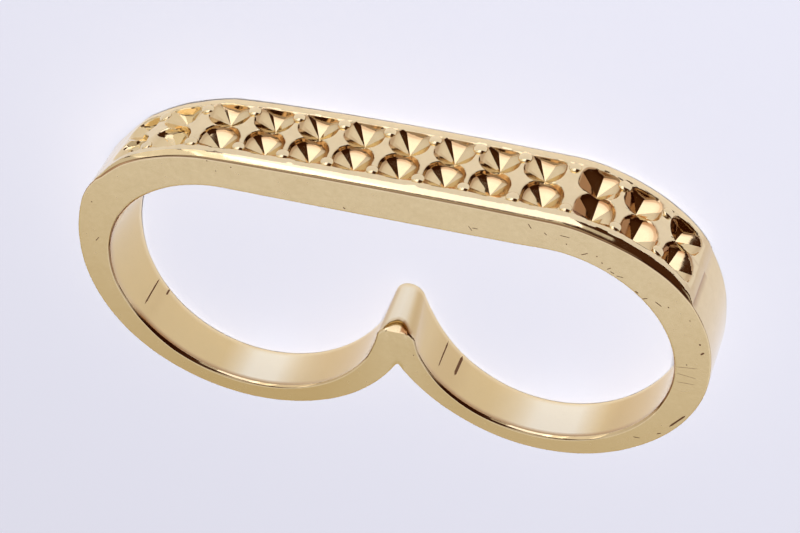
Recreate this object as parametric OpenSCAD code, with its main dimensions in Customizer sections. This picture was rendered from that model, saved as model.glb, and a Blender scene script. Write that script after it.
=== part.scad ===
// Two-finger ring, cast in one piece: a straight top bar with big round corners, two finger
// hoops that meet in a V notch, and a decorated strip of faceted pits along the bar.
// The ring lies on its side, on its flat back face. X runs along the bar, Y towards the bar.

/* [Finger holes] */
// Radius of the right finger hole
hole_r_right = 9.05; // [8.6:0.05:9.4]
// Radius of the left finger hole
hole_r_left = 9.17; // [8.8:0.01:9.5]
// Distance of the right finger hole's centre from the middle
hole_x_right = 9.4; // [9.2:0.05:9.7]
// Distance of the left finger hole's centre from the middle
hole_x_left = 10.17; // [9.9:0.01:10.4]
// Height of the right finger hole's centre
hole_y_right = -0.08; // [-0.3:0.01:0.1]
// Height of the left finger hole's centre
hole_y_left = -0.46; // [-0.6:0.01:-0.3]
// Radius of the opening's upper right corner
hole_corner_right = 8.42; // [8:0.01:8.7]
// Radius of the opening's upper left corner
hole_corner_left = 8.22; // [8:0.01:8.8]
// Height of the bar's underside
bar_underside_y = 8.0; // [7.8:0.05:8.3]
// Radius of the rounded tip of the peak between the finger holes
peak_tip_r = 1.05; // [0.9:0.05:1.2]

/* [Outside] */
// Radius of the right hoop's outside
hoop_r_right = 11.44; // [11.3:0.01:11.8]
// Radius of the left hoop's outside
hoop_r_left = 11.54; // [11.4:0.01:11.9]
// Distance of the right hoop's outer centre from the middle
hoop_x_right = 9.71; // [9.6:0.01:9.9]
// Distance of the left hoop's outer centre from the middle
hoop_x_left = 10.09; // [10:0.01:10.3]
// Height of the right hoop's outer centre
hoop_y_right = 0.95; // [0.7:0.01:1.1]
// Height of the left hoop's outer centre
hoop_y_left = 0.65; // [0.5:0.01:0.8]
// Radius of the bar's right outer corner
corner_r_right = 10.27; // [10:0.01:10.5]
// Radius of the bar's left outer corner
corner_r_left = 9.47; // [9.2:0.01:9.7]
// Height of the bar's outer surface
bar_top_y = 10.53; // [10.4:0.01:10.8]

/* [Width of the band] */
// Half width of the band at the height of the middle line
half_width = 2.48; // [2.2:0.01:2.8]
// Growth of the half width for each millimetre towards the bar
flare = 0.074; // [0.05:0.001:0.1]
// Chamfer along the opening's edges
inner_chamfer = 0.23; // [0.1:0.01:0.3]

/* [Decorated strip] */
// Height of the decorated strip above the plain band
strip_raise = 0.4; // [0.2:0.05:0.45]
// Distance of the strip's ends from its middle, along the surface
strip_end = 21.3; // [20.8:0.1:22]
// Distance between two columns of pits on the straight bar
pitch_bar = 3.0; // [2.9:0.05:3.1]
// Distance between two columns of pits on the corners
pitch_corner = 3.28; // [3.1:0.01:3.3]
// Distance between the two rows of pits
row_pitch = 2.42; // [2.3:0.01:2.5]
// Radius of a pit
pit_r = 1.29; // [1:0.01:1.3]
// Depth of a pit
pit_depth = 1.04; // [0.8:0.01:1.1]
// Radius of the beads between the pits along both rims
bead_r = 0.42; // [0.3:0.01:0.45]
// Distance of the beads from the strip's middle line
bead_z = 2.02; // [1.9:0.01:2.1]
// Height of the beads above the strip's flat
bead_proud = 0.12; // [0.05:0.01:0.2]

/* [Hidden] */
$fn = 128;
far = 60;
tilt = atan(flare);
// columns of pits counted from the middle one: 3 each way on the straight bar's pitch, 3 on the corner's
columns = [for (j = [-6:6]) sign(j) * (min(abs(j), 3) * pitch_bar + max(abs(j) - 3, 0) * pitch_corner)];

// one side's outline: [hoop centre x, hoop centre y, hoop radius, corner radius, bar height]
hole_right = [hole_x_right, hole_y_right, hole_r_right, hole_corner_right, bar_underside_y];
hole_left = [hole_x_left, hole_y_left, hole_r_left, hole_corner_left, bar_underside_y];
outer_right = [hoop_x_right, hoop_y_right, hoop_r_right, corner_r_right, bar_top_y];
outer_left = [hoop_x_left, hoop_y_left, hoop_r_left, corner_r_left, bar_top_y];

// centre of the corner arc, which touches the bar's line and the hoop's circle from inside
function corner_y(o) = o[4] - o[3];
function corner_x(o) = o[0] + sqrt(pow(o[2] - o[3], 2) - pow(corner_y(o) - o[1], 2));
// direction of the line through both centres, where the arcs meet
function join_angle(o) = atan2(corner_y(o) - o[1], corner_x(o) - o[0]);

// how far the outline reaches sideways
function side_x(o) = join_angle(o) < 0 ? corner_x(o) + o[3] : o[0] + o[2];

// centre of the peak's tip: it touches both finger holes from outside
tip_a = hole_r_right + peak_tip_r;
tip_b = hole_r_left + peak_tip_r;
tip_dx = hole_x_right + hole_x_left;
tip_dy = hole_y_right - hole_y_left;
tip_d = norm([tip_dx, tip_dy]);
tip_t = (tip_b * tip_b - tip_a * tip_a + tip_d * tip_d) / (2 * tip_d);
tip_h = sqrt(tip_b * tip_b - tip_t * tip_t);
tip = [-hole_x_left + tip_t * tip_dx / tip_d + tip_h * tip_dy / tip_d,
       hole_y_left + tip_t * tip_dy / tip_d - tip_h * tip_dx / tip_d];
// where the tip's circle touches the holes' circles
touch_right = tip + peak_tip_r * [hole_x_right - tip[0], hole_y_right - tip[1]] / tip_a;
touch_left = tip + peak_tip_r * [-hole_x_left - tip[0], hole_y_left - tip[1]] / tip_b;

// the lying ring's box, whose bottom centre is the origin
low_y = min(hoop_y_right - hoop_r_right, hoop_y_left - hoop_r_left);
box_x = (side_x(outer_right) - side_x(outer_left)) / 2;
box_low = low_y * cos(tilt) - (half_width + low_y * flare) * sin(tilt);
strip_high = (bar_top_y + strip_raise) * cos(tilt) + (half_width + bar_top_y * flare - strip_raise) * sin(tilt);
bead_high = (bar_top_y + strip_raise + bead_proud - bead_r) * cos(tilt) + bead_z * sin(tilt) + bead_r;
box_high = max(strip_high, bead_high);

// half of a filled outline: hoop circle below the joining line and beside the middle, and corner circle
module half_outline(o, h) {
    translate([o[0], o[1], 0]) intersection() {
        cylinder(r = o[2], h = h, center = true);
        union() {
            rotate([0, 0, join_angle(o)]) translate([-far, -2 * far, -far]) cube([2 * far, 2 * far, 2 * far]);
            translate([-far, -far, -far]) cube([far, far + 3, 2 * far]);
        }
    }
    translate([corner_x(o), corner_y(o), 0]) cylinder(r = o[3], h = h, center = true);
}

// what lies between the two halves, up to the bar
module middle_block(right, left, h, extra = []) {
    linear_extrude(height = h, center = true)
        polygon(concat(
            [[right[0], right[1]], [corner_x(right), corner_y(right)], [corner_x(right), right[4]],
             [-corner_x(left), left[4]], [-corner_x(left), corner_y(left)], [-left[0], left[1]]],
            extra));
}

module opening() {
    h = 30;
    half_outline(hole_right, h);
    mirror([1, 0, 0]) half_outline(hole_left, h);
    difference() {
        middle_block(hole_right, hole_left, h, [touch_left, touch_right]);
        translate([tip[0], tip[1], 0]) cylinder(r = peak_tip_r, h = h + 2, center = true);
    }
}

module outside() {
    h = 20;
    half_outline(outer_right, h);
    mirror([1, 0, 0]) half_outline(outer_left, h);
    middle_block(outer_right, outer_left, h);
}

// what lies between the two slanted side faces
module between_faces() {
    y = 20;
    rotate([90, 0, 90]) linear_extrude(height = 2 * far, center = true)
        polygon([[-y, -half_width + y * flare], [y, -half_width - y * flare],
                 [y, half_width + y * flare], [-y, half_width - y * flare]]);
}

// a cutter profile swept along the outline of one side in the slanted face's own plane:
// along the bar and round the corner arc as far as sweep degrees
module along_corner(o, sweep) {
    cx = corner_x(o);
    translate([cx, corner_y(o) / cos(tilt), 0]) rotate([0, 0, 90 - sweep])
        rotate_extrude(angle = sweep) translate([o[3], 0]) children();
    translate([-0.01, o[4] / cos(tilt), 0]) rotate([90, 0, 90])
        linear_extrude(height = cx + 0.02) children();
}

// places its children in the plane of the front face (side 1) or the back face (side -1)
module on_face(side) {
    if (side > 0) translate([0, 0, half_width]) rotate([tilt, 0, 0]) children();
    else mirror([0, 0, 1]) translate([0, 0, half_width]) rotate([tilt, 0, 0]) children();
}

// raised strip along the bar and its corners, before the side faces and the bevels cut it
module strip_half(o) {
    sweep = sweep_of(o);
    translate([corner_x(o), corner_y(o), 0]) rotate([0, 0, 90 - sweep])
        rotate_extrude(angle = sweep)
            translate([o[3] - 1, -10]) square([1 + strip_raise, 20]);
    translate([-0.01, o[4] - 1, -10]) cube([corner_x(o) + 0.02, 1 + strip_raise, 20]);
}

// bevels along both long edges of the strip
module strip_bevels(o) {
    b = strip_raise;
    for (side = [-1, 1]) on_face(side) along_corner(o, sweep_of(o) + 1)
        polygon([[0.03, 0.5], [0.03, 0], [2 * b + 0.03, -2 * b], [2 * b + 0.03, 0.5]]);
}

function sweep_of(o) = (strip_end - corner_x(o)) / o[3] * 180 / PI;

// moves its children to a point of the strip's surface: s along it from the middle, z across it,
// with their own Z pointing out of the surface
module on_strip(s, z) {
    o = s < 0 ? outer_left : outer_right;
    a = abs(s);
    cx = corner_x(o);
    over = max(a - cx, 0) / o[3] * 180 / PI;
    mirror([s < 0 ? 1 : 0, 0, 0])
        translate([min(a, cx), corner_y(o), z])
            rotate([0, 0, -over]) translate([0, o[3] + strip_raise, 0]) rotate([-90, 0, 0]) children();
}

module pits() {
    for (s = columns, side = [-1, 1])
        on_strip(s, side * row_pitch / 2)
            rotate([0, 0, 22.5]) translate([0, 0, -pit_depth])
                cylinder(h = pit_depth + 0.2, r1 = 0, r2 = pit_r * (pit_depth + 0.2) / pit_depth, $fn = 8);
}

module beads() {
    for (i = [0:11], side = [-1, 1])
        on_strip((columns[i] + columns[i + 1]) / 2, side * bead_z)
            translate([0, 0, bead_proud - bead_r]) sphere(r = bead_r);
}

// chamfers along the opening's edges on both side faces, under the bar and round its corners and hoops
module hole_chamfer(o) {
    c = inner_chamfer;
    for (side = [-1, 1]) on_face(side) {
        along_corner(o, 90 - join_angle(o)) polygon([[-0.3, 0.2], [-0.3, -c - 0.3], [c + 0.2, 0.2]]);
        translate([o[0], o[1] / cos(tilt), 0]) rotate([0, 0, join_angle(o) - 180])
            rotate_extrude(angle = 180) translate([o[2], 0]) polygon([[-0.3, 0.2], [-0.3, -c - 0.3], [c + 0.2, 0.2]]);
    }
}

// flat bevel that slopes back at the top of the peak, on both side faces
module peak_bevel() {
    for (side = [-1, 1]) on_face(side)
        translate([tip[0], (tip[1] + 0.35) / cos(tilt), 0]) rotate([-32, 0, 0])
            translate([-1.2, 0, 0]) cube([2.4, 3, 3]);
}

// lays the ring on its back face, with the origin under the middle of its box
module lay_down() {
    translate([-box_x, -(box_low + box_high) / 2, half_width * cos(tilt)])
        rotate([tilt, 0, 0]) children();
}

module ring() {
    color("#d8bf8c") lay_down() {
        difference() {
            intersection() {
                union() {
                    outside();
                    strip_half(outer_right);
                    mirror([1, 0, 0]) strip_half(outer_left);
                }
                between_faces();
            }
            strip_bevels(outer_right);
            mirror([1, 0, 0]) strip_bevels(outer_left);
            opening();
            hole_chamfer(hole_right);
            mirror([1, 0, 0]) hole_chamfer(hole_left);
            peak_bevel();
            pits();
        }
        beads();
    }
}

ring();
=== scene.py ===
import bpy
import math
import random
import numpy as np
from mathutils import Matrix, Vector, noise


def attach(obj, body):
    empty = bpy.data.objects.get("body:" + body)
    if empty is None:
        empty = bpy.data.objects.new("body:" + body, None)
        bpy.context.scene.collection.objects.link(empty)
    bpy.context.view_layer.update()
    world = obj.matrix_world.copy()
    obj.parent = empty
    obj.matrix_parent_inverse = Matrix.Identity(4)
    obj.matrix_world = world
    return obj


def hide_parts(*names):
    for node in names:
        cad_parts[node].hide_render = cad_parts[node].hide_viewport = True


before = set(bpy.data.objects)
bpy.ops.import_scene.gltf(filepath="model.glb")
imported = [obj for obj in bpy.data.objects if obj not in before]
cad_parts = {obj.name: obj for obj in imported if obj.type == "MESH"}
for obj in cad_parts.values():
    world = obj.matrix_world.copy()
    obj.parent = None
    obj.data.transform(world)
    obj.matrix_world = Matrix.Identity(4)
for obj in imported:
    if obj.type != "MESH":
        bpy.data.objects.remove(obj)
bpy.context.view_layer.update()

# ---------------------------------------------------------------- sizes, in mm, in the ring's own frame
# one side's outline: hoop centre x, hoop centre y, hoop radius, corner radius, bar height
OUT = {1: (9.71, 0.95, 11.44, 10.27, 10.53), -1: (10.09, 0.65, 11.54, 9.47, 10.53)}
HOLE = {1: (9.40, -0.08, 9.05, 8.42, 8.00), -1: (10.17, -0.46, 9.17, 8.22, 8.00)}
TIP_R = 1.05
HW, FLARE = 2.48, 0.074       # half width of the band and its growth towards the bar
RAISE = 0.40                  # height of the strip above the band
STRIP_END = 21.3
CHAMFER = 0.23
CHAMFER_AT = ([-53, -50, -44, -38, -32, -29, -24, -19, 0, 19, 24, 32, 40, 46, 50, 53],
              [.09, .12, .20, .20, .09, .10, .13, .12, .11, .11, .10, .13, .18, .19, .14, .09])
TILT = math.atan(FLARE)

# camera, fitted to the photograph: focal length in pixels, rotation rows, translation, principal point
CAM = dict(
    f=3727.0147, c=(412.029, 264.008),
    rows=((0.9560152, -0.0123194, -0.2930583),
          (0.1832643, -0.7550089, 0.6295838),
          (-0.2290177, -0.6555988, -0.7195422)),
    t=(-0.36187, 1.43055, 241.51290),
)


# ---------------------------------------------------------------- outlines
def corner(o):
    cy = o[4] - o[3]
    cx = o[0] + math.sqrt((o[2] - o[3]) ** 2 - (cy - o[1]) ** 2)
    return cx, cy, math.atan2(cy - o[1], cx - o[0])


def length_to(o, angle):
    """Arc length from the bar's middle to the place where the outline faces this angle."""
    cx, cy, join = corner(o)
    if angle >= join:
        return cx + o[3] * (math.pi / 2 - angle)
    return cx + o[3] * (math.pi / 2 - join) + o[2] * (join - angle)


def walk(o, s):
    """Point and outward normal of one side's outline at arc length s from the bar's middle."""
    cx, cy, join = corner(o)
    if s <= cx:
        return s, o[4], 0.0, 1.0
    turn = o[3] * (math.pi / 2 - join)
    if s <= cx + turn:
        a = math.pi / 2 - (s - cx) / o[3]
        return cx + o[3] * math.cos(a), cy + o[3] * math.sin(a), math.cos(a), math.sin(a)
    a = join - (s - cx - turn) / o[2]
    return o[0] + o[2] * math.cos(a), o[1] + o[2] * math.sin(a), math.cos(a), math.sin(a)


def meet(a, b, low):
    """Where two circles (x, y, r) cross, on the lower side."""
    dx, dy = a[0] - b[0], a[1] - b[1]
    d = math.hypot(dx, dy)
    t = (b[2] ** 2 - a[2] ** 2 + d * d) / (2 * d)
    h = math.sqrt(b[2] ** 2 - t * t)
    return b[0] + t * dx / d + h * dy / d, b[1] + t * dy / d - h * dx / d


NOTCH = meet((OUT[1][0], OUT[1][1], OUT[1][2]), (-OUT[-1][0], OUT[-1][1], OUT[-1][2]), True)
TIP = meet((HOLE[1][0], HOLE[1][1], HOLE[1][2] + TIP_R), (-HOLE[-1][0], HOLE[-1][1], HOLE[-1][2] + TIP_R), True)
OUT_KEYS, IN_KEYS, TOUCH = {}, {}, {}
for side in (1, -1):
    o, i = OUT[side], HOLE[side]
    a = math.atan2(NOTCH[1] - o[1], side * NOTCH[0] - o[0])
    OUT_KEYS[side] = [0, corner(o)[0], length_to(o, 0.0), length_to(o, -math.pi / 2), length_to(o, a)]
    tip = (side * TIP[0], TIP[1])
    b = math.atan2(tip[1] - i[1], tip[0] - i[0])
    b = b - 2 * math.pi if b > 0 else b
    start = math.atan2(i[1] - tip[1], i[0] - tip[0])
    TOUCH[side] = (length_to(i, b), start)
    IN_KEYS[side] = [0, corner(i)[0], length_to(i, 0.0), length_to(i, -math.pi / 2),
                     length_to(i, b) + TIP_R * (math.pi / 2 - start)]


def outer(s):
    side = 1 if s >= 0 else -1
    x, y, nx, ny = walk(OUT[side], min(abs(s), OUT_KEYS[side][4]))
    return side * x, y, side * nx, ny


def inner_at(s):
    """The opening's outline opposite the outer outline's place s. The normal points into the metal."""
    side = 1 if s >= 0 else -1
    u = float(np.interp(abs(s), OUT_KEYS[side], IN_KEYS[side]))
    to, start = TOUCH[side]
    if u <= to:
        x, y, nx, ny = walk(HOLE[side], u)
        return side * x, y, side * nx, ny
    a = start + (u - to) / TIP_R
    return (side * (side * TIP[0] + TIP_R * math.cos(a)), TIP[1] + TIP_R * math.sin(a),
            -side * math.cos(a), -math.sin(a))


# small departures of the real casting from the plain outlines, in mm, along the outline
DEV_OUT = ([-57, -52, -41, -38, -36, -31, -27.4, -25, -24, -23, -22, -21, -20.5, -19.5, -18.5, -17.2, -16, -14.6, -13.3,
            -11, -5, 0, 5, 10.5, 12.5, 13.7, 15.1, 17.3, 18.7, 20, 21, 24, 27, 32, 37, 41, 46, 50, 54.4, 57],
           [-.06, .05, .05, .08, .08, 0, -.02, .06, .14, .24, .26, .20, .09, .07, .08, .0, -.08, -.10, -.09,
            0, .10, .12, .10, 0, -.12, -.20, -.20, -.10, 0, .06, .12, .05, -.08, -.17, -.16, -.05, -.02, -.08, -.06, -.04])
# how far the outer surface draws in towards its back edge
DEV_LEAN = ([-24.5, -22, -21, -19.5, -18, -17, -16, -14.6, -12, 20, 22, 26, 31, 36],
            [0, -.41, -.49, -.51, -.50, -.44, -.33, -.20, 0, 0, -.12, -.22, -.12, 0])
# how far the hole's wall gives way at its front and at its back edge
DEV_HOLE_FRONT = ([-57.7, -56.6, -55.6, -54.6, -34.7, -32.1, -29.6, -26, -22.5, -20, -17.8, -14.3, -10, -5, 9, 12, 16, 21,
                   25, 28, 31, 48, 50.5, 52, 53.5, 54.6, 55.7],
                  [-.30, -.26, -.12, 0, 0, .10, .20, .24, .23, .18, .11, .07, .03, 0, 0, .06, .04, .06,
                   .09, .06, 0, 0, -.06, -.18, -.30, -.42, -.32])
DEV_HOLE_BACK = ([-40, -34.7, -30.9, -28.4, -26, -23.6, -21.3, -19, -16], [0, -.05, -.12, -.25, -.30, -.28, -.22, -.1, 0])
DEV_BACK = ([-30, -24, -19, -14.3, -12, -9, -4, 0, 14, 17, 20, 24, 30],
            [0, .45, .65, .60, .35, .18, .05, 0, 0, .12, .25, .2, 0])


def dev(table, s):
    return float(np.interp(s, table[0], table[1]))


PEAK_Y = TIP[1] + 1.03
PEAK_FALL = 2.1


def face_z(x, y):
    """Height of the front face over the middle plane, with the bevel at the peak's tip."""
    z = HW + FLARE * y
    if y > PEAK_Y and abs(x - TIP[0]) < 2.0 and y < TIP[1] + 2.0:
        z -= (y - PEAK_Y) * PEAK_FALL
    return z


def raise_at(s):
    return float(np.interp(s, [-STRIP_END, -20.6, -19.6, -18, -14, -10, 14, 18, 19.6, 20.6, STRIP_END],
                           [0, .11, .20, .27, .34, RAISE, RAISE, .37, .30, .20, 0]))


# ---------------------------------------------------------------- the strip's pattern
FRONT_S = [-18.3, -15.17, -11.81, -8.87, -5.94, -3.0, 0.02, 2.99, 5.94, 9.35, 12.74, 15.8, 18.83]
BACK_S = [-18.3, -15.19, -11.96, -8.98, -6.05, -3.0, 0.0, 2.97, 5.92, 8.84, 12.43, 15.38, 18.72]
FRONT_Z = [1.20, 1.32, 1.38, 1.2, 1.18, 1.15, 1.2, 1.15, 1.11, 1.2, 1.30, 1.38, 1.28]
BACK_Z = [-0.95, -1.01, -1.12, -1.25, -1.27, -1.24, -1.22, -1.2, -1.3, -1.28, -0.98, -1.12, -1.22]
ROW_Z = 1.21
NE = 24                       # mesh steps along one side of a cell
rng = random.Random(7)


def borders(row):
    b = [(row[j] + row[j + 1]) / 2 for j in range(12)]
    return [row[0] - 1.6] + b + [row[12] + 1.6]


BF, BB = borders(FRONT_S), borders(BACK_S)


def row_s(station, z):
    """Arc length at height z on a station line that runs through the front row's and the back row's place."""
    t = (ROW_Z - z) / (2 * ROW_Z)
    t = min(max(t, -0.2), 1.2)
    return station[0] + (station[1] - station[0]) * t


stations = []                 # (place in the front row, place in the back row)
for j in range(13):
    for k in range(NE):
        t = k / NE
        stations.append((BF[j] + (BF[j + 1] - BF[j]) * t, BB[j] + (BB[j + 1] - BB[j]) * t))
stations.append((BF[13], BB[13]))
N_STRIP = len(stations)


def fan(a, b, n, ease=1.0):
    return [a + (b - a) * (k / n) ** ease for k in range(1, n + 1)]


right_rest = []
e = (BF[13] + BB[13]) / 2
for k in range(1, 9):
    t = k / 8
    right_rest.append((BF[13] + (STRIP_END - BF[13]) * t, BB[13] + (STRIP_END - BB[13]) * t))
L1 = OUT_KEYS[1][4]
right_rest += [(s, s) for s in fan(STRIP_END, L1 - 2.4, 74)] + [(s, s) for s in fan(L1 - 2.4, L1, 22)]
left_rest = []
for k in range(1, 9):
    t = k / 8
    left_rest.append((BF[0] + (-STRIP_END - BF[0]) * t, BB[0] + (-STRIP_END - BB[0]) * t))
L2 = -OUT_KEYS[-1][4]
left_rest += [(s, s) for s in fan(-STRIP_END, L2 + 2.4, 74)] + [(s, s) for s in fan(L2 + 2.4, L2, 22)]
left_rest = left_rest[:-1]    # the last station on the left is the notch, which the right one already has
stations = left_rest[::-1] + stations + right_rest
S0 = len(left_rest)           # index of the strip's first station
NS = len(stations)

# rows across the outer surface: rim, front cells, back cells, rim
NR = 4
K_B, K_C, K_D, K_E = NR, NR + NE, NR + 2 * NE, 2 * NR + 2 * NE


def edge_profile(b):
    """Rounded edge from a side face to the outer surface: (height over the band, depth below the face)."""
    w = min(1.0, b / 0.2)
    b = max(b, 0.19)
    big = [(-.104, 0), (-.055, .005), (-.008, .019), (.035, .042), (.073, .073), (b * .70, b * .70),
           (b * .85, b * .88), (b * .95, b * 1.08), (b, b * 1.32)]
    low = [(-.06, 0), (-.035, .004), (-.02, .012), (-.012, .02), (-.005, .033), (-.002, .045), (0, .06), (0, .07), (0, .08)]
    return [(w * p[0] + (1 - w) * r[0], w * p[1] + (1 - w) * r[1]) for p, r in zip(big, low)]


def limits(s):
    """Front and back end of the outer surface proper, at arc length s."""
    x, y, nx, ny = outer(s)
    h, d = edge_profile(raise_at(s))[-1]
    y2 = y + ny * h
    return HW + FLARE * y2 - d, -(HW + FLARE * y2) + dev(DEV_BACK, s) + d


def row_z(station, k):
    s = (station[0] + station[1]) / 2
    zf, zb = limits(s)
    mid = (zf + zb) / 2 if zf - zb < 4 else 0.0
    top, low = zf - 0.36, zb + 0.42
    if k <= K_B:
        return zf + (top - zf) * k / NR
    if k <= K_C:
        return top + (mid - top) * (k - K_B) / NE
    if k <= K_D:
        return mid + (low - mid) * (k - K_C) / NE
    return low + (zb - low) * (k - K_D) / NR


# the eight facets of a pit: direction in degrees from the one towards larger s, and slope.
# Front row, back row, and both rows where the right corner turns away.
SHAPES = {
    "front": ([0, 45, 90, 135, 185, 230, 265, 318], [.65, .65, .65, .66, .66, .60, .64, .53]),
    "back": ([0, 45, 90, 140, 200, 236, 262, 313], [.66, .66, .68, .80, .86, .80, .84, .72]),
    "turned1": ([0, 45, 90, 135, 190, 231, 289, 330], [.62, .64, .66, .74, .80, .80, .64, .60]),
    "turned2": ([0, 45, 90, 135, 195, 250, 309, 345], [.66, .64, .66, .72, .72, .68, .86, .72]),
    "turned3": ([0, 45, 90, 135, 200, 262, 320, 350], [.80, .64, .62, .66, .66, .66, 1.05, .85]),
}


def ridges(ways, slopes):
    """Direction of the ridge between each facet and the next one."""
    out = []
    for q in range(8):
        a, b = math.radians(ways[q]), math.radians(ways[(q + 1) % 8])
        u, v = slopes[q], slopes[(q + 1) % 8]
        r = math.degrees(math.atan2(u * math.cos(a) - v * math.cos(b), v * math.sin(b) - u * math.sin(a))) % 360
        mid = (ways[q] + ((ways[(q + 1) % 8] - ways[q]) % 360) / 2) % 360
        out.append((r + 180) % 360 if math.cos(math.radians(r - mid)) < 0 else r)
    return out


# the pits: place, size of the rim towards its neighbours, the middle and the rail, depth, slope and turn
pits = []
for row, zs, sign in ((FRONT_S, FRONT_Z, 1), (BACK_S, BACK_Z, -1)):
    for j, (s, z) in enumerate(zip(row, zs)):
        zf, zb = limits(s)
        rail = (zf - 0.36) if sign > 0 else (zb + 0.42)
        mid = (zf + zb) / 2
        ways, slopes = SHAPES["turned%d" % (j - 9) if j > 9 else "front" if sign > 0 else "back"]
        slopes = [v * (1 + rng.uniform(-.03, .03)) for v in slopes]
        pits.append(dict(ways=ways, ridges=ridges(ways, slopes), s=s, z=z, sign=sign, j=j, rs=1.32 * (1 + rng.uniform(-.02, .02)),
                         rm=abs(z - mid) + 0.07 + rng.uniform(-.02, .03), rr=abs(rail - z) - 0.015,
                         d=1.12 * (1 + rng.uniform(-.03, .03)), slope=slopes,
                         turn=math.radians(rng.uniform(-2, 2))))
BEADS = []
for j in range(12):
    for row, sign in ((BF, 1), (BB, -1)):
        s = row[j + 1]
        zf, zb = limits(s)
        BEADS.append((s, (zf - 0.36 - 0.43) if sign > 0 else (zb + 0.42 + 0.42), sign, 0.44 * (1 + rng.uniform(-.06, .06))))
WALL_E = [-0.10, -0.06, -0.03, 0.0, 0.02, 0.045, 0.07, 0.11, 0.16, 0.21, 0.26, 1.5]
WALL_H = [0.0, -0.006, -0.02, -0.045, -0.08, -0.15, -0.215, -0.275, -0.325, -0.36, -0.385, -4.0]
# painted shade and painted dark reflections along the outline: on the front chamfer, on the hole's wall, at the foot of
# the front edge
PAINTED_SHADE_RIM = ([-56, -50, -40.5, -39, -38, -34, -33.2, -32.3, -31, -29, -24, -20, -17, -14, 0, 10, 16, 20, 26, 28.5,
              31.5, 33, 37, 46, 48, 50.5, 52, 54],
             [.20, .25, .12, .5, .9, 1.0, .6, .15, .3, .75, .85, .7, .5, .2, .15, .15, .25, .4, .6, .9,
              .85, .35, .08, .12, .8, .95, .3, .2])
PAINTED_SHADE_LINE = ([-55, -50, -47, -40, -38, -34, -32, -24, -20, -10, 20, 27, 32, 38, 46, 50, 53],
              [.2, .4, .7, .8, .9, 1.0, .3, .6, .4, 0, 0, .5, .5, .75, .75, .9, .3])
PAINTED_SHADE_WALL = ([-57.2, -56.9, -56.2, -54, -50.5, -49, -47.8, -46.5, -38, -35.4, -34.6, -33.4, -30, -24,
               24, 30, 35, 37.5, 39, 46, 49, 50.2, 51.6, 53, 54.4, 54.9, 55.3],
              [0, .34, .30, .12, .12, .12, .04, 0, .0, .02, .10, .03, 0, 0,
               .0, .06, .14, .20, .04, 0, .02, .14, .14, 0, .10, .22, 0])
# painted highlight on the hole's wall: where it is paler, by place along the outline
PAINTED_HIGHLIGHT_WALL = ([-57.8, -57.3, -57.0, -50, -48, -46.5, -44.5, -43, -42, 38.5, 40, 41.2, 44.5, 46, 47.5, 55.0, 55.35, 55.8],
             [1, .8, 0, 0, .4, 1, 1, .4, 0, 0, .6, 1, 1, .4, 0, 0, .8, 1])
# painted shade: the side faces darker and yellower towards the hoops' bottoms
PAINTED_WARM_SHADE_FACE = ([-57, -50, -42, -36, -30, -24, -18, 18, 26, 32, 40, 50, 55], [.3, 1, 1, .6, .4, .2, 0, 0, .3, .4, .7, .8, .3])
PAINTED_SHADE_FOOT = ([-23.5, -22, -20, -17.5, -16.4, 4, 10, 15, 19.5, 20.5, 22.5, 24], [0, .85, .9, .75, .50, .55, .75, .8, .4, .7, .7, 0])
# painted shade on the pits' walls, by distance inside the rim
PAINTED_SHADE_E = [-0.06, -0.01, 0.03, 0.20, 0.27, 0.32]
PAINTED_SHADE_V = [0.0, 0.45, 1.0, 0.9, 0.35, 0.0]


def rim(pit, ds, dz):
    """Distance from the pit's middle to its rim, in the direction (ds, dz)."""
    r = math.hypot(ds, dz)
    if r < 1e-9:
        return 1.3
    cs, cz = abs(ds) / r, abs(dz) / r
    rail = dz * pit["sign"] > 0
    a, b, p = pit["rs"], (pit["rr"] if rail else pit["rm"]), (4.6 if rail else 2.2)
    return ((cs / a) ** p + (cz / b) ** p) ** (-1 / p)


def cone(pit, ds, dz):
    best = -9.0
    for q in range(8):
        a = math.radians(pit["ways"][q]) + pit["turn"]
        best = max(best, (ds * math.cos(a) + dz * math.sin(a)) * pit["slope"][q])
    return best - pit["d"]


def skin(s, z):
    """Height of the outer surface over the band at a place: the strip's flat, its pits, beads and bosses."""
    up = raise_at(s)
    if up <= 0:
        return 0.0
    w = min(1.0, up / 0.25)
    n = noise.noise(Vector((s * 1.0, z * 1.0, 3.0))) * 0.030 + noise.noise(Vector((s * 2.6, z * 2.6, 9.0))) * 0.014
    h = n
    # a shallow hollow round each bead
    for bs, bz, sign, r in BEADS:
        ds = s - bs
        if abs(ds) < 0.8:
            d = math.hypot(ds, z - bz)
            rail = sign * (z - bz) - (r - 0.02)
            if rail < 0.03:
                h = min(h, n - 0.07 * min(1.0, max(0.0, (0.70 - d) / 0.22)) * min(1.0, (0.03 - rail) / 0.08))
    top = h
    for pit in pits:
        ds, dz = s - pit["s"], z - pit["z"]
        if abs(ds) > 1.8 or abs(dz) > 1.8:
            continue
        rho = math.hypot(ds, dz)
        big = rim(pit, ds, dz)
        e = big - rho
        if e > -0.10:
            wall = float(np.interp(e, WALL_E, WALL_H))
            if rho > 1e-6:
                k = (big - 0.25) / rho
                foot = cone(pit, ds * k, dz * k)
                wall *= max(1.0, foot / -0.38)
            h = min(h, max(min(wall, 0) + top * (1 if e < 0 else max(0.0, 1 - e / 0.1)), cone(pit, ds, dz)))
    return up + w * h


verts, faces, satin, painted_shade, painted_highlight, painted_warm_shade = [], [], {}, {}, {}, {}
lattice = {}


def add(s, z, h):
    x, y, nx, ny = outer(s)
    d = dev(DEV_OUT, s) + h + dev(DEV_LEAN, s) * min(1.0, max(0.0, (3.2 - z) / 6.0))
    verts.append((x + nx * d, y + ny * d, z))
    return len(verts) - 1


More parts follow.
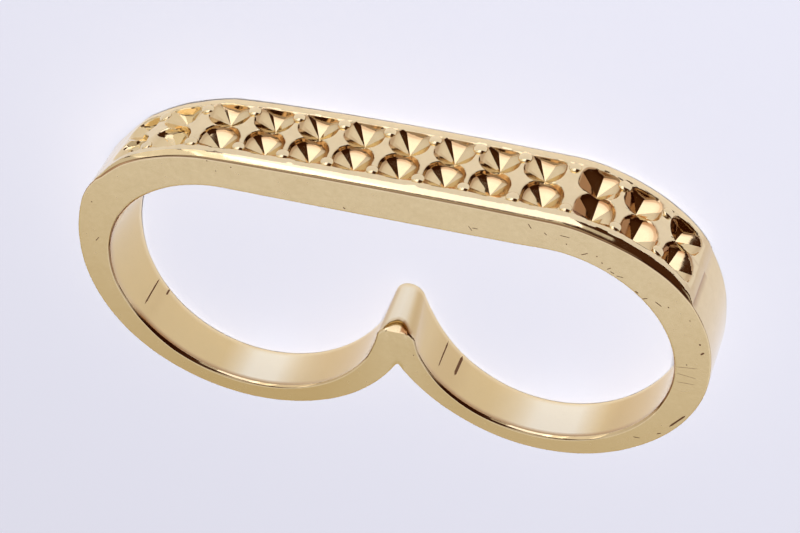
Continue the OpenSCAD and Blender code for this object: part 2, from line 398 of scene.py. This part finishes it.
def lat(i, k):
    """Vertex of the outer surface's lattice, made when first asked for."""
    i %= NS
    if (i, k) not in lattice:
        z = row_z(stations[i], k)
        s = row_s(stations[i], z)
        lattice[(i, k)] = add(s, z, skin(s, z))
        # painted shade: the outer surface a little darker beyond the strip, darker where the strip runs out on the
        # right, darkest in its crease
        g = float(np.interp(s, [-22, -19, 19.3, 20.0, 21.1, 21.6, 25], [.05, 0, 0, .24, .24, .07, .05]))
        if z > -0.4:              # the crease where the strip runs out on the right
            g = max(g, 1.0 * max(0.0, 1 - abs(s - 21.22) / 0.2))
        painted_shade[lattice[(i, k)]] = g
    return lattice[(i, k)]


INNER = (0.17, 0.36, 0.56, 0.76)
WALL = (0.27, 0.21, 0.16, 0.115, 0.08, 0.05, 0.025, 0.0, -0.035, -0.08)
OUTER = (0.22, 0.50, 0.78)


def cell(pit):
    i0 = S0 + pit["j"] * NE
    k0, k1 = (K_B, K_C) if pit["sign"] > 0 else (K_C, K_D)
    # boundary, from the corner (largest s, largest z) towards smaller s, then smaller z
    ring = [(i0 + NE - t, k0) for t in range(NE)] + [(i0, k0 + t) for t in range(NE)]
    ring += [(i0 + t, k1) for t in range(NE)] + [(i0 + NE, k1 - t) for t in range(NE)]
    n = len(ring)
    edge = []
    for i, k in ring:
        z = row_z(stations[i], k)
        edge.append((row_s(stations[i], z) - pit["s"], z - pit["z"]))
    # directions: the facets' ridges fall on every twelfth one, from 67.5 degrees on
    step = n // 8
    rays = []
    for m in range(n):
        q, r = divmod((m - step // 2) % n, step)
        a0 = math.radians(pit["ridges"][(q + 1) % 8]) + pit["turn"]
        a1 = a0 + math.radians((pit["ridges"][(q + 2) % 8] - pit["ridges"][(q + 1) % 8]) % 360)
        x = math.cos(a0) + (math.cos(a1) - math.cos(a0)) * r / step
        y = math.sin(a0) + (math.sin(a1) - math.sin(a0)) * r / step
        t = math.hypot(x, y)
        rays.append((x / t, y / t))
    lo = min(e[1] for e in edge) + 0.012
    hi = max(e[1] for e in edge) - 0.012
    rows = []

    def point(ds, dz):
        s, z = pit["s"] + ds, pit["z"] + dz
        v = add(s, z, skin(s, z))
        rho = math.hypot(ds, dz)
        e = rim(pit, ds, dz) - rho
        # painted shade in the pits: on the walls, strongest on each pit's far side, weak in the left columns
        far = max(0.0, min(1.0, 0.62 - 0.55 * (ds * 0.55 + dz * 0.83) / max(rho, 1e-6)))
        amount = float(np.interp(s, [-18, -15, -13.5, -11.5, 8, 12], [.06, .12, .35, .8, .8, 1.0]))
        if pit["sign"] < 0:
            amount *= 0.8
            if abs(ds) < 1.0 and dz > 0 and 0.12 < e < 0.9 and ds < -0.1:      # painted shade on the near left flank
                painted_shade[v] = 0.55 * amount
        if pit["j"] > 9 and e > 0.1 and ds < 0.02:      # painted dark reflection on the left flanks where the corner turns away
            way = math.degrees(math.atan2(dz, ds)) % 360
            low, high = pit["ridges"][2] + 8, pit["ridges"][4]
            if low < way < high + 2:
                painted_shade[v] = 0.95
        painted_shade[v] = max(painted_shade.get(v, 0.0), amount * float(np.interp(e, PAINTED_SHADE_E, PAINTED_SHADE_V)) * (0.25 + 0.75 * far))
        # painted shade: the pits' insides darker and yellower
        painted_warm_shade[v] = 0.45 * float(np.interp(e, [0.0, 0.12], [0.0, 1.0]))
        return v

    apex = point(0.0, 0.0)
    rim_at = [rim(pit, c, t) for c, t in rays]
    # the wall's rings stay inside the cell
    room = []
    for (c, t), r in zip(rays, rim_at):
        m = 9.0
        if t > 1e-6:
            m = hi / t
        elif t < -1e-6:
            m = lo / t
        room.append(m)
    for f in INNER:
        rows.append([point(c * (r - WALL[0]) * f, t * (r - WALL[0]) * f) for (c, t), r in zip(rays, rim_at)])
    last = None
    for q, w in enumerate(WALL):
        row, place = [], []
        for (c, t), r, m in zip(rays, rim_at, room):
            d = min(r - w, m - 0.004 * (len(WALL) - q))
            row.append(point(c * d, t * d))
            place.append((c * d, t * d))
        rows.append(row)
        last = place
    for f in OUTER:
        rows.append([point(p[0] + (e[0] - p[0]) * f, p[1] + (e[1] - p[1]) * f) for p, e in zip(last, edge)])
    rows.append([lat(i, k) for i, k in ring])
    for m in range(n):
        w = (m + 1) % n
        faces.append((apex, rows[0][m], rows[0][w]))
        for a, b in zip(rows[:-1], rows[1:]):
            faces.append((a[m], b[m], b[w], a[w]))


for p in pits:
    cell(p)

# plain quads of the outer surface
for i in range(NS):
    j = (i + 1) % NS
    inside = S0 <= i < S0 + N_STRIP - 1
    for k in range(K_E):
        if inside and K_B <= k < K_D:
            continue
        faces.append((lat(i, k), lat(i, k + 1), lat(j, k + 1), lat(j, k)))

# the rest of the section, station by station: back edge, back face, chamfer, hole wall, chamfer, front face, front edge
NF, NB, NI = 8, 5, 10


def section(i):
    st = stations[i]
    out = []
    # place along the outline at the front and the back
    sf, sb = row_s(st, 3.0), row_s(st, -3.0)

    def side(s, sign):
        """Vertices from the outer surface's end round the edge, over the face, to the hole's wall."""
        b = raise_at(s)
        x, y, nx, ny = outer(s)
        rows_ = []
        back = dev(DEV_BACK, s) if sign < 0 else 0.0
        for h, d in edge_profile(b)[::-1][1:]:
            dd = dev(DEV_OUT, s) + h + dev(DEV_LEAN, s) * (0.03 if sign > 0 else 0.97)
            px, py = x + nx * dd, y + ny * dd
            rows_.append((px, py, sign * (face_z(px, py) - d) + back))
        po = (rows_[-1][0], rows_[-1][1])
        ix, iy, mx, my = inner_at(s)
        give = dev(DEV_HOLE_FRONT if sign > 0 else DEV_HOLE_BACK, s)
        ix, iy = ix + mx * give, iy + my * give
        c = float(np.interp(s, CHAMFER_AT[0], CHAMFER_AT[1]))
        pi = (ix + mx * (c + 0.05), iy + my * (c + 0.05))
        n = NF if sign > 0 else NB
        ts = [0.03] + [0.03 + 0.94 * k / (n - 2) for k in range(1, n - 1)] + [1.0]
        if pi[1] > PEAK_Y and abs(pi[0] - TIP[0]) < 1.6 and po[1] < PEAK_Y:
            t0 = (PEAK_Y - po[1]) / (pi[1] - po[1])
            ts = [t0 * k / (n - 2) for k in range(1, n - 1)] + [(1 + t0) / 2, 1.0]
        for t in ts:
            px, py = po[0] + (pi[0] - po[0]) * t, po[1] + (pi[1] - po[1]) * t
            rows_.append((px, py, sign * face_z(px, py) + back))
        for o_, d in ((c + 0.01, 0.006), (c - 0.03, 0.035), (0.035, c - 0.03), (0.006, c + 0.01), (0.0, c + 0.06)):
            px, py = ix + mx * o_, iy + my * o_
            rows_.append((px, py, sign * (face_z(px, py) - d) + back))
        return rows_

    front, back = side(sf, 1), side(sb, -1)
    mid = []
    a, b = back[-1], front[-1]
    sm = (sf + sb) / 2
    for k in range(1, NI):
        t = k / NI
        mid.append((a[0] + (b[0] - a[0]) * t, a[1] + (b[1] - a[1]) * t, a[2] + (b[2] - a[2]) * t))
    kinds = [0.0] * 8 + [1.0] * NB + [0.0] * 5 + [0.5] * (NI - 1) + [0.0] * 5 + [1.0] * NF + [0.0] * 8
    for v, kind in zip(back + mid + front[::-1], kinds):
        verts.append(v)
        satin[len(verts) - 1] = kind
        # painted shade and painted dark reflections on the hole's wall
        painted_shade[len(verts) - 1] = dev(PAINTED_SHADE_WALL, sm) if kind == 0.5 else 0.0
        # painted highlight on the hole's wall
        painted_highlight[len(verts) - 1] = dev(PAINTED_HIGHLIGHT_WALL, sm) if kind == 0.5 else 0.0
        # painted shade: the hole's wall darker and yellower outside its painted highlight, the side faces by place
        # along the outline
        painted_warm_shade[len(verts) - 1] = 0.85 * (1 - dev(PAINTED_HIGHLIGHT_WALL, sm)) if kind == 0.5 else dev(PAINTED_WARM_SHADE_FACE, sm) if kind == 1.0 else 0.0
        out.append(len(verts) - 1)
    first = 8 + NB + 5 + NI - 1
    # painted shade on the front chamfer: a dark line at the hole's edge, darker rows above it
    for q in range(5):
        painted_shade[out[first + q]] = dev(PAINTED_SHADE_LINE, sm) if q < 1 else dev(PAINTED_SHADE_RIM, sm) if q < 4 else 0.0
    # painted shade at the foot of the front edge
    for q in (1, 2, 3):
        painted_shade[out[first + 5 + NF + q]] = dev(PAINTED_SHADE_FOOT, sm)
    for q in range(7):            # painted dark reflection at the bevel's right end
        px, py = verts[out[first + q]][:2]
        if PEAK_Y - 0.05 < py < TIP[1] + 2.0 and 0.42 < px - TIP[0] < 1.6:
            painted_shade[out[first + q]] = 0.95
    return [lat(i, K_E)] + out + [lat(i, 0)]


sections = [section(i) for i in range(NS)]
for i in range(NS):
    a, b = sections[i], sections[(i + 1) % NS]
    for k in range(len(a) - 1):
        faces.append((a[k], a[k + 1], b[k + 1], b[k]))

# ---------------------------------------------------------------- the mesh, laid down on its back face, in metres
low_y = min(OUT[1][1] - OUT[1][2], OUT[-1][1] - OUT[-1][2])


def side_x(o):
    cx, cy, join = corner(o)
    return cx + o[3] if join < 0 else o[0] + o[2]


box_x = (side_x(OUT[1]) - side_x(OUT[-1])) / 2
ct, sn = math.cos(TILT), math.sin(TILT)
box_low = low_y * ct - (HW + low_y * FLARE) * sn
box_high = (OUT[1][4] + RAISE + 0.12 - 0.42) * ct + 2.02 * sn + 0.42      # the beads stand proud of the strip
SHIFT = (-box_x, -(box_low + box_high) / 2, HW * ct)


def lay(v):
    x, y, z = v
    # the peak leans a little: its crest runs to the left and up towards the back
    u = min(1.0, max(0.0, (y + 4.6) / 1.8)) * math.exp(-((x - TIP[0]) ** 2 + (y - TIP[1] - 0.6) ** 2) / 5.0)
    x += u * (0.075 * z)
    y += u * (0.06 - 0.055 * z)
    return ((x + SHIFT[0]) * 0.001, (y * ct - z * sn + SHIFT[1]) * 0.001, (y * sn + z * ct + SHIFT[2]) * 0.001)


mesh = bpy.data.meshes.new("ring_body")
mesh.from_pydata([lay(v) for v in verts], [], faces)
mesh.validate()
mesh.update()
ring = bpy.data.objects.new("ring_body", mesh)
bpy.context.scene.collection.objects.link(ring)
import bmesh
bm = bmesh.new()
bm.from_mesh(mesh)
bmesh.ops.recalc_face_normals(bm, faces=bm.faces)
loose = [e for e in bm.edges if len(e.link_faces) != 2]
print("ring mesh:", len(bm.verts), "vertices", len(bm.faces), "faces", "open edges", len(loose))
bm.to_mesh(mesh)
bm.free()
attr = mesh.attributes.new("satin", "FLOAT", "POINT")
attr.data.foreach_set("value", [satin.get(i, 0.0) for i in range(len(mesh.vertices))])
# painted shade, painted warm shade and painted highlight, kept per vertex for the gold's base colour
attr = mesh.attributes.new("painted_shade", "FLOAT", "POINT")
attr.data.foreach_set("value", [painted_shade.get(i, 0.0) for i in range(len(mesh.vertices))])
attr = mesh.attributes.new("painted_warm_shade", "FLOAT", "POINT")
attr.data.foreach_set("value", [painted_warm_shade.get(i, 0.0) for i in range(len(mesh.vertices))])
attr = mesh.attributes.new("painted_highlight", "FLOAT", "POINT")
attr.data.foreach_set("value", [painted_highlight.get(i, 0.0) for i in range(len(mesh.vertices))])
for p in mesh.polygons:
    p.use_smooth = True
mesh.set_sharp_from_angle(angle=math.radians(19))

# ---------------------------------------------------------------- gold
mat = bpy.data.materials.new("pale_gold")
mat.use_nodes = True
nt = mat.node_tree
bsdf = nt.nodes["Principled BSDF"]
bsdf.inputs["Metallic"].default_value = 1.0
bsdf.inputs["Base Color"].default_value = (0.87, 0.69, 0.385, 1)
tc = nt.nodes.new("ShaderNodeTexCoord")
at = nt.nodes.new("ShaderNodeAttribute")
at.attribute_name = "satin"


def math_node(op, a, b):
    n = nt.nodes.new("ShaderNodeMath")
    n.operation = op
    for i, v in enumerate((a, b)):
        if isinstance(v, (int, float)):
            n.inputs[i].default_value = v
        else:
            nt.links.new(v, n.inputs[i])
    return n.outputs[0]


def noise_node(scale, detail):
    n = nt.nodes.new("ShaderNodeTexNoise")
    n.inputs["Scale"].default_value = scale
    n.inputs["Detail"].default_value = detail
    nt.links.new(tc.outputs["Object"], n.inputs["Vector"])
    return n.outputs["Fac"]


fine = noise_node(2200, 3)
broad = noise_node(900, 4)
rough = math_node("ADD", math_node("MULTIPLY", at.outputs["Fac"], 0.16), math_node("MULTIPLY", fine, 0.12))
rough = math_node("ADD", rough, 0.03)
nt.links.new(rough, bsdf.inputs["Roughness"])
ramp = nt.nodes.new("ShaderNodeMix")
ramp.data_type = "RGBA"
ramp.inputs["A"].default_value = (0.80, 0.63, 0.35, 1)
ramp.inputs["B"].default_value = (0.97, 0.80, 0.49, 1)
grain = noise_node(3200, 2)
nt.links.new(math_node("ADD", math_node("MULTIPLY", broad, 0.5), math_node("MULTIPLY", grain, 0.5)), ramp.inputs["Factor"])
painted_shade_attr = nt.nodes.new("ShaderNodeAttribute")
painted_shade_attr.attribute_name = "painted_shade"
light = nt.nodes.new("ShaderNodeAttribute")
light.attribute_name = "painted_highlight"
# painted highlight: the base colour mixed towards pale cream
painted_highlight_mix = nt.nodes.new("ShaderNodeMix")
painted_highlight_mix.data_type = "RGBA"
nt.links.new(ramp.outputs["Result"], painted_highlight_mix.inputs["A"])
painted_highlight_mix.inputs["B"].default_value = (1.0, 0.93, 0.72, 1)
nt.links.new(math_node("MULTIPLY", light.outputs["Fac"], 0.8), painted_highlight_mix.inputs["Factor"])
painted_warm_shade_attr = nt.nodes.new("ShaderNodeAttribute")
painted_warm_shade_attr.attribute_name = "painted_warm_shade"
# painted shade: the base colour mixed towards a darker honey
painted_warm_shade_mix = nt.nodes.new("ShaderNodeMix")
painted_warm_shade_mix.data_type = "RGBA"
nt.links.new(painted_highlight_mix.outputs["Result"], painted_warm_shade_mix.inputs["A"])
painted_warm_shade_mix.inputs["B"].default_value = (0.76, 0.57, 0.27, 1)
nt.links.new(painted_warm_shade_attr.outputs["Fac"], painted_warm_shade_mix.inputs["Factor"])
# painted shade and painted dark reflections: the base colour mixed towards dark brown
painted_shade_mix = nt.nodes.new("ShaderNodeMix")
painted_shade_mix.data_type = "RGBA"
nt.links.new(painted_warm_shade_mix.outputs["Result"], painted_shade_mix.inputs["A"])
painted_shade_mix.inputs["B"].default_value = (0.34, 0.135, 0.035, 1)
nt.links.new(math_node("MULTIPLY", painted_shade_attr.outputs["Fac"], 0.93), painted_shade_mix.inputs["Factor"])
nt.links.new(painted_shade_mix.outputs["Result"], bsdf.inputs["Base Color"])
bump = nt.nodes.new("ShaderNodeBump")
bump.inputs["Strength"].default_value = 0.10
bump.inputs["Distance"].default_value = 0.00002
nt.links.new(fine, bump.inputs["Height"])
nt.links.new(bump.outputs["Normal"], bsdf.inputs["Normal"])
mesh.materials.append(mat)

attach(ring, "root")
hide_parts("ring")

# ---------------------------------------------------------------- beads, one mesh of closed domes
bv, bf = [], []
RINGS, SEGS, DOME = 12, 20, 0.21
for bs, bz, sign, r in BEADS:
    x, y, nx, ny = outer(bs)
    h = dev(DEV_OUT, bs) + dev(DEV_LEAN, bs) * (3.2 - bz) / 6.0 + raise_at(bs) + 0.125 - DOME
    c = (x + nx * h, y + ny * h, bz)
    base = len(bv)
    along = (ny, -nx)
    for i in range(1, RINGS):
        a = math.pi * i / RINGS
        for j in range(SEGS):
            t = 2 * math.pi * j / SEGS
            u, v, o = r * math.sin(a) * math.cos(t), r * math.sin(a) * math.sin(t), DOME * math.cos(a)
            bv.append((c[0] + along[0] * u + nx * o, c[1] + along[1] * u + ny * o, c[2] + v))
    top, low = len(bv), len(bv) + 1
    bv.append((c[0] + nx * DOME, c[1] + ny * DOME, c[2]))
    bv.append((c[0] - nx * DOME, c[1] - ny * DOME, c[2]))
    for j in range(SEGS):
        k = (j + 1) % SEGS
        bf.append((top, base + j, base + k))
        bf.append((low, base + (RINGS - 2) * SEGS + k, base + (RINGS - 2) * SEGS + j))
        for i in range(RINGS - 2):
            q = base + i * SEGS
            bf.append((q + j, q + SEGS + j, q + SEGS + k, q + k))
bead_mesh = bpy.data.meshes.new("ring_beads")
bead_mesh.from_pydata([lay(v) for v in bv], [], bf)
bead_mesh.validate()
bead_mesh.update()
bm = bmesh.new()
bm.from_mesh(bead_mesh)
bmesh.ops.recalc_face_normals(bm, faces=bm.faces)
bm.to_mesh(bead_mesh)
bm.free()
for p in bead_mesh.polygons:
    p.use_smooth = True
bead_mesh.materials.append(mat)
beads = bpy.data.objects.new("ring_beads", bead_mesh)
bpy.context.scene.collection.objects.link(beads)
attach(beads, "root")
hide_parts("ring")

# ---------------------------------------------------------------- wear: small brown scratches and specks in the surface; dark lines on the holes' walls that are painted reflections
UP = (0.0, -FLARE, 1.0)
SCRATCHES = [                     # on the front face: from x, y to x, y, width
    (5.36, 8.78, 5.75, 8.79, .06), (5.12, 8.90, 5.36, 8.52, .05), (9.00, 10.08, 9.22, 9.67, .06),
    (10.02, 9.56, 10.21, 9.37, .06), (11.02, 9.58, 11.69, 9.52, .06), (12.39, 8.22, 12.84, 8.48, .07),
    (14.06, 7.38, 14.31, 7.58, .06), (14.25, 7.26, 14.54, 7.11, .06), (14.64, 6.96, 15.12, 6.93, .06),
    (15.86, 5.93, 16.08, 5.81, .10), (16.32, 5.36, 16.67, 5.52, .07), (17.15, 5.35, 17.58, 5.02, .07),
    (20.16, 1.36, 20.36, 1.62, .14), (18.52, -.15, 20.01, .05, .025), (18.60, -.71, 19.95, -.89, .025),
    (18.65, -1.49, 19.85, -1.47, .025), (18.22, -5.86, 19.28, -4.48, .14), (17.42, -6.75, 17.69, -6.60, .08),
    (15.84, -7.47, 16.31, -7.46, .06), (-20.45, 1.08, -20.18, 1.49, .06), (-3.10, 8.45, -2.95, 8.35, .09),
]
SPECKS = [                        # on the front face: x, y, width
    (11.46, 8.92, .09), (13.41, 8.35, .09), (13.74, 7.86, .10), (18.02, 5.06, .10), (19.41, 4.23, .09),
    (20.09, 2.26, .14), (19.27, .21, .09), (-10.45, 10.13, .09), (-12.04, 10.30, .09), (-11.50, 9.55, .08),
    (-20.37, 4.64, .09), (1.07, -3.85, .08),
]
WALL_LINES = [                    # painted dark reflections on the holes' walls: place along the outline, from z to z, width
    (-33.7, -1.95, 0.95, .13), (-35.1, -1.85, -1.25, .16), (51.4, -1.70, 1.45, .13), (50.1, -1.65, 0.40, .24),
]
mv, mf = [], []


def mark(a, b, way, width):
    """A thin closed lens along a-b in the surface that faces this way."""
    a, b, n = Vector(a), Vector(b), Vector(way).normalized()
    along = b - a
    across = n.cross(along).normalized() * (width / 2)
    base = len(mv)
    ring_ = [a, a + along * 0.12 + across, a + along * 0.85 + across * 0.8, b, a + along * 0.88 - across, a + along * 0.15 - across * 0.8]
    mv.extend([tuple(v + n * 0.003) for v in ring_])
    mv.append(tuple((a + b) / 2 + n * 0.010))
    mv.append(tuple((a + b) / 2 - n * 0.030))
    for q in range(6):
        w = (q + 1) % 6
        mf.append((base + q, base + w, base + 6))
        mf.append((base + w, base + q, base + 7))


for x0, y0, x1, y1, w in SCRATCHES:
    mark((x0, y0, face_z(x0, y0)), (x1, y1, face_z(x1, y1)), UP, w)
for x0, y0, w in SPECKS:
    mark((x0 - w / 2, y0, face_z(x0, y0)), (x0 + w / 2, y0, face_z(x0, y0)), UP, w)
for s, z0, z1, w in WALL_LINES:
    ends = []
    ix, iy, mx, my = inner_at(s)
    for z in (z0, z1):
        top = HW + FLARE * iy
        g = float(np.interp(z, [-top, top], [dev(DEV_HOLE_BACK, s), dev(DEV_HOLE_FRONT, s)]))
        ends.append((ix + mx * g, iy + my * g, z))
    mark(ends[0], ends[1], (-mx, -my, 0.0), w)
mark_mesh = bpy.data.meshes.new("ring_marks")
mark_mesh.from_pydata([lay(v) for v in mv], [], mf)
mark_mesh.validate()
mark_mesh.update()
bm = bmesh.new()
bm.from_mesh(mark_mesh)
bmesh.ops.recalc_face_normals(bm, faces=bm.faces)
bm.to_mesh(mark_mesh)
bm.free()
# one brown material for the real wear on the front face and for the painted reflections on the holes' walls
brown = bpy.data.materials.new("wear_and_painted_reflection")
brown.use_nodes = True
brown.node_tree.nodes["Principled BSDF"].inputs["Base Color"].default_value = (0.15, 0.065, 0.02, 1)
brown.node_tree.nodes["Principled BSDF"].inputs["Metallic"].default_value = 0.6
brown.node_tree.nodes["Principled BSDF"].inputs["Roughness"].default_value = 0.5
mark_mesh.materials.append(brown)
marks = bpy.data.objects.new("ring_marks", mark_mesh)
bpy.context.scene.collection.objects.link(marks)
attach(marks, "root")
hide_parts("ring")

# ---------------------------------------------------------------- floor, light, camera
fm = bpy.data.materials.new("floor_paper")
fm.use_nodes = True
fb = fm.node_tree.nodes["Principled BSDF"]
fb.inputs["Base Color"].default_value = (0.765, 0.790, 0.910, 1)
fb.inputs["Roughness"].default_value = 0.9
fb.inputs["Specular IOR Level"].default_value = 0.1
bpy.ops.mesh.primitive_plane_add(size=3, location=(0, 0, 0))
floor = bpy.context.object
floor.name = "floor"
floor.data.materials.append(fm)


def soft(name, direction, distance, size, power, color=(1, 1, 1)):
    d = Vector(direction).normalized()
    data = bpy.data.lights.new(name, "AREA")
    data.shape = "RECTANGLE"
    data.size, data.size_y = size
    data.energy = power
    data.color = color
    ob = bpy.data.objects.new(name, data)
    ob.location = d * distance
    ob.rotation_mode = "QUATERNION"
    ob.rotation_quaternion = d.to_track_quat("Z", "Y")
    bpy.context.scene.collection.objects.link(ob)
    return ob


def panel(name, az0, az1, el0, el1, level, color=(1, 1, 1), distance=0.8):
    """A soft box that fills this part of the room seen from the ring, with this brightness."""
    az, el = math.radians((az0 + az1) / 2), math.radians((el0 + el1) / 2)
    w = 2 * distance * math.tan(math.radians(az1 - az0) / 2) * math.cos(el)
    h = 2 * distance * math.tan(math.radians(el1 - el0) / 2)
    d = (math.cos(el) * math.cos(az), math.cos(el) * math.sin(az), math.sin(el))
    ob = soft(name, d, distance, (w, h), level * math.pi * w * h, color)
    ob.visible_diffuse = False
    ob.visible_camera = False
    return ob


TABLE = (1.02, 1.07, 1.22)
panel("window", 80, 113, 0, 52, 1.5, (0.97, 0.98, 1.15))
panel("window_end", 113, 128, 0, 52, 1.15)
panel("window_side", 128, 160, 0, 50, 0.80)
panel("room_left", 160, 205, 0, 48, 0.60)
panel("table_left", -155, -60, 33.2, 62, 0.76, TABLE)
panel("table_low", -155, -60, 2, 33.2, 0.50, (1.0, 0.95, 0.74))
panel("table_right", -60, -22, 2, 50, 0.50, TABLE)
panel("lamp_right", -24, 4, 22, 34, 0.40)
panel("room_upper_right", 58, 80, 40, 51, 0.55)
ceiling = soft("ceiling", (-0.12, 0.14, 1.0), 0.80, (0.66, 0.66), 0.50 * math.pi * 0.66 * 0.66)
ceiling.visible_diffuse = False
ceiling.visible_camera = False
fill = soft("overhead", (0.1952, 0.5085, 0.8387), 0.90, (0.07, 0.07), 9.2)
fill.visible_glossy = False
fill.visible_camera = False
world = bpy.data.worlds.new("room")
bpy.context.scene.world = world
world.use_nodes = True
world.node_tree.nodes["Background"].inputs["Color"].default_value = (0.058, 0.021, 0.009, 1)
world.node_tree.nodes["Background"].inputs["Strength"].default_value = 1.0
bpy.context.scene.view_settings.view_transform = "Standard"

# ring frame to the lying frame
turn = Matrix.Rotation(TILT, 3, "X")
rows = [Vector(r) for r in CAM["rows"]]
t = Vector(CAM["t"])
place = -(rows[0] * t[0] + rows[1] * t[1] + rows[2] * t[2])
right, up, back = turn @ rows[0], turn @ -rows[1], turn @ -rows[2]
loc = (turn @ place + Vector(SHIFT)) * 0.001
cam_data = bpy.data.cameras.new("camera")
cam = bpy.data.objects.new("camera", cam_data)
m = Matrix((right, up, back)).transposed().to_4x4()
m.translation = loc
cam.matrix_world = m
cam_data.sensor_fit = "HORIZONTAL"
cam_data.sensor_width = 36
cam_data.lens = CAM["f"] * 36 / 800
cam_data.shift_x = -(CAM["c"][0] - 400) / 800
cam_data.shift_y = (CAM["c"][1] - 266.5) / 800
cam_data.clip_start, cam_data.clip_end = 0.005, 10
bpy.context.scene.collection.objects.link(cam)
bpy.context.scene.camera = cam
